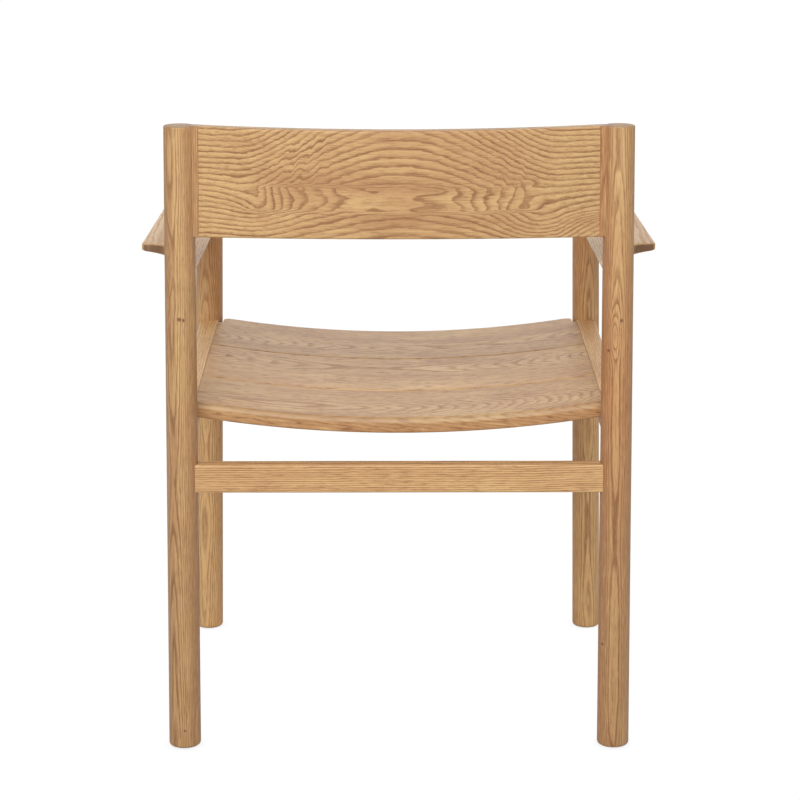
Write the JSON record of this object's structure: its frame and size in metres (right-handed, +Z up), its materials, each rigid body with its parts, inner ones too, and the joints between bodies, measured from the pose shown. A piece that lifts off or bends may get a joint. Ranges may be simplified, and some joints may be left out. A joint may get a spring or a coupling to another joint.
{
  "type": "armchair",
  "caption": "Oak dining armchair with round splayed legs, a bowed back board, flat armrests that sweep in to the rear posts, and a dished plank seat between side rails.",
  "frame": {"origin": "on the floor, under the middle of the chair's bounding box", "axes": "+Z up; the sitter faces -Y; +X is the sitter's left"},
  "size_m": [0.613, 0.5756, 0.772],
  "materials": {
    "oak": "oiled, satin",
    "dowel_wood": "plain turned wood, unseen in its holes"
  },
  "bodies": {
    "root": {"rear_leg_left": "oak", "rear_leg_right": "oak", "front_leg_left": "oak", "front_leg_right": "oak", "armrest_left": "oak", "armrest_right": "oak", "backrest": "oak", "side_rail_left": "oak", "side_rail_right": "oak", "seat_plank_front": "oak", "seat_plank_middle": "oak", "seat_plank_rear": "oak", "rear_stretcher": "oak", "front_stretcher": "oak", "dowel_back_1_left": "dowel_wood", "dowel_back_2_left": "dowel_wood", "dowel_arm_rear_1_left": "dowel_wood", "dowel_arm_rear_2_left": "dowel_wood", "dowel_arm_front_left": "dowel_wood", "dowel_rail_front_1_left": "dowel_wood", "dowel_rail_front_2_left": "dowel_wood", "dowel_rail_rear_1_left": "dowel_wood", "dowel_rail_rear_2_left": "dowel_wood", "dowel_stretcher_rear_1_left": "dowel_wood", "dowel_stretcher_rear_2_left": "dowel_wood", "dowel_stretcher_front_1_left": "dowel_wood", "dowel_stretcher_front_2_left": "dowel_wood", "dowel_seat_plank_front_1_left": "dowel_wood", "dowel_seat_plank_front_2_left": "dowel_wood", "dowel_seat_plank_middle_1_left": "dowel_wood", "dowel_seat_plank_middle_2_left": "dowel_wood", "dowel_seat_plank_rear_1_left": "dowel_wood", "dowel_seat_plank_rear_2_left": "dowel_wood", "dowel_back_1_right": "dowel_wood", "dowel_back_2_right": "dowel_wood", "dowel_arm_rear_1_right": "dowel_wood", "dowel_arm_rear_2_right": "dowel_wood", "dowel_arm_front_right": "dowel_wood", "dowel_rail_front_1_right": "dowel_wood", "dowel_rail_front_2_right": "dowel_wood", "dowel_rail_rear_1_right": "dowel_wood", "dowel_rail_rear_2_right": "dowel_wood", "dowel_stretcher_rear_1_right": "dowel_wood", "dowel_stretcher_rear_2_right": "dowel_wood", "dowel_stretcher_front_1_right": "dowel_wood", "dowel_stretcher_front_2_right": "dowel_wood", "dowel_seat_plank_front_1_right": "dowel_wood", "dowel_seat_plank_front_2_right": "dowel_wood", "dowel_seat_plank_middle_1_right": "dowel_wood", "dowel_seat_plank_middle_2_right": "dowel_wood", "dowel_seat_plank_rear_1_right": "dowel_wood", "dowel_seat_plank_rear_2_right": "dowel_wood"}
  },
  "joints": []
}
